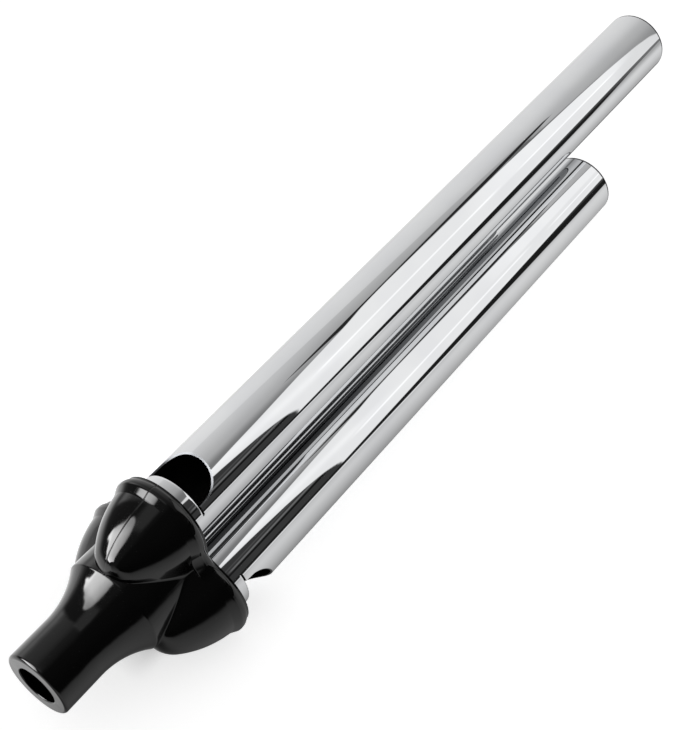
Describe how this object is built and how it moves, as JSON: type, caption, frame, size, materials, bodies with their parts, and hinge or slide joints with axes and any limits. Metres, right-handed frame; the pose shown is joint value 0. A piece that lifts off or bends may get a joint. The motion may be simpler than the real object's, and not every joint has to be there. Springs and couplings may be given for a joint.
{
  "type": "train whistle",
  "caption": "Wind whistle with stopped chrome tubes of different lengths held side by side in one moulded black mouthpiece.",
  "frame": {"origin": "middle of the air inlet, on the face of the mouthpiece's tip", "axes": "+X along the whistle's axis, from the blown tip to the tubes' closed ends; +Z from the axis to the longest tube; +Y completes a right-handed frame"},
  "size_m": [0.2659, 0.0474, 0.0446],
  "materials": {
    "black_gloss_plastic": "polished black moulding",
    "chrome_tube": "mirror-bright plating over brass tube",
    "chrome_cap": "mirror-bright plating over pressed brass",
    "plug_plastic": "matt black plug"
  },
  "bodies": {
    "root": {"mouthpiece": "black_gloss_plastic", "tube_long": "chrome_tube", "tube_middle": "chrome_tube", "tube_short": "chrome_tube", "plug_long": "plug_plastic", "plug_middle": "plug_plastic", "plug_short": "plug_plastic", "cap_long": "chrome_cap", "cap_middle": "chrome_cap", "cap_short": "chrome_cap"}
  },
  "joints": []
}
